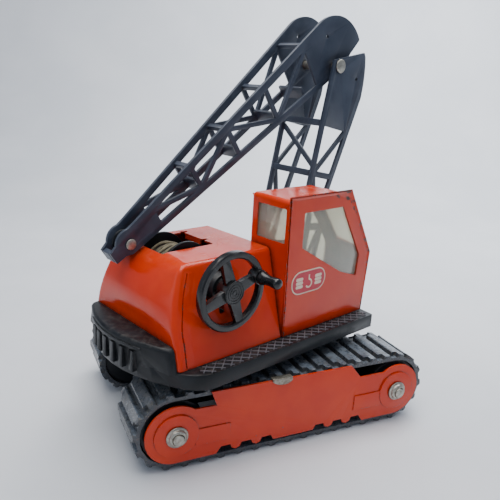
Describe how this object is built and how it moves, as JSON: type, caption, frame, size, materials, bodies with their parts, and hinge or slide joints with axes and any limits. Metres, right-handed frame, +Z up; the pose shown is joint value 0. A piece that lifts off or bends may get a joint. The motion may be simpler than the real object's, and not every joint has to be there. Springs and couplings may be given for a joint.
{
  "type": "toy crawler crane",
  "caption": "Pressed-steel toy crawler crane: orange house and cab slewing on rubber tracks, crank winch and a folding black lattice boom.",
  "frame": {"origin": "on the slewing axis at ground level, which is the middle of the footprint", "axes": "+X is the way the cab faces, +Y to its left, +Z up; the undercarriage points 17.7 degrees to the right of +X"},
  "size_m": [0.229, 0.1874, 0.2595],
  "materials": {
    "orange_paint": "gloss enamel with worn edges",
    "black_plastic": "satin moulding",
    "black_rubber": "dusty rubber",
    "zinc_steel": "dull zinc plate",
    "clear_plastic": "hazy clear moulding",
    "cotton_cord": "dirty twisted cord",
    "sticker": "printed vinyl"
  },
  "bodies": {
    "undercarriage": {"chassis": "black_plastic", "plate_hanger_right": "zinc_steel", "plate_hanger_left": "zinc_steel", "turntable_ring": "black_plastic", "slew_pivot": "zinc_steel", "side_plate_right": "orange_paint", "side_plate_left": "orange_paint", "track_belt_right": "black_rubber", "track_belt_left": "black_rubber"},
    "front_axle_set": {"front_axle": "zinc_steel", "front_track_wheel_right": "black_plastic", "front_track_wheel_left": "black_plastic", "front_cap_nut_right": "zinc_steel", "front_cap_nut_left": "zinc_steel"},
    "rear_axle_set": {"rear_axle": "zinc_steel", "rear_track_wheel_right": "black_plastic", "rear_track_wheel_left": "black_plastic", "rear_cap_nut_right": "zinc_steel", "rear_cap_nut_left": "zinc_steel"},
    "superstructure": {"deck": "black_plastic", "house_shell": "orange_paint", "cab_shell": "orange_paint", "cab_glazing": "clear_plastic", "door_badge": "sticker", "boom_bracket": "black_plastic"},
    "winch": {"winch_shaft": "zinc_steel", "shaft_push_nut": "zinc_steel", "winch_drum": "black_plastic", "winch_cord": "cotton_cord", "crank_wheel": "black_plastic", "knob_pin": "zinc_steel"},
    "knob": {"crank_knob": "black_plastic"},
    "lower_boom": {"lower_boom_frame_right": "black_plastic", "lower_boom_frame_left": "black_plastic", "lower_rear_tie_1": "black_plastic", "lower_rear_tie_2": "black_plastic", "lower_rear_tie_3": "black_plastic", "lower_front_tie_1": "black_plastic", "lower_front_tie_2": "black_plastic", "lower_rear_brace": "black_plastic", "boom_foot_pin": "zinc_steel", "knuckle_pin": "zinc_steel"},
    "upper_boom": {"upper_boom_frame_right": "black_plastic", "upper_boom_frame_left": "black_plastic", "upper_top_tie_1": "black_plastic", "upper_top_tie_2": "black_plastic", "upper_top_tie_3": "black_plastic", "upper_top_tie_4": "black_plastic", "upper_bottom_tie_1": "black_plastic", "upper_bottom_tie_2": "black_plastic", "upper_bottom_tie_3": "black_plastic", "upper_bottom_tie_4": "black_plastic", "boom_nose": "black_plastic", "tip_pin": "zinc_steel"},
    "sheave": {"tip_sheave": "black_plastic"}
  },
  "joints": [
    {"name": "front_axle_spin", "type": "hinge", "parent": "undercarriage", "child": "front_axle_set", "pos_m": [0.07193, -0.02295, 0.024], "axis": [0.304, 0.9527, 0], "continuous": true},
    {"name": "rear_axle_spin", "type": "hinge", "parent": "undercarriage", "child": "rear_axle_set", "pos_m": [-0.07193, 0.02295, 0.024], "axis": [0.304, 0.9527, 0], "continuous": true},
    {"name": "slew", "type": "hinge", "parent": "undercarriage", "child": "superstructure", "pos_m": [0, 0, 0.06], "axis": [0, 0, 1], "continuous": true},
    {"name": "winch_spin", "type": "hinge", "parent": "superstructure", "child": "winch", "pos_m": [-0.061, 0, 0.1042], "axis": [0, 1, 0], "continuous": true},
    {"name": "knob_spin", "type": "hinge", "parent": "winch", "child": "knob", "pos_m": [-0.04293, -0.057, 0.11007], "axis": [0, 1, 0], "continuous": true},
    {"name": "boom_luff", "type": "hinge", "parent": "superstructure", "child": "lower_boom", "pos_m": [0.0365, 0.0165, 0.078], "axis": [0, 1, 0], "range_deg": [0, 60]},
    {"name": "boom_fold", "type": "hinge", "parent": "lower_boom", "child": "upper_boom", "pos_m": [0.0655, 0.0165, 0.22721], "axis": [0, 1, 0], "range_deg": [0, 140]},
    {"name": "sheave_spin", "type": "hinge", "parent": "upper_boom", "child": "sheave", "pos_m": [-0.0898, 0.0165, 0.12126], "axis": [0, 1, 0], "continuous": true}
  ],
  "couplings": [
    {"joint": "rear_axle_spin", "follows": "front_axle_spin", "ratio": 1}
  ]
}
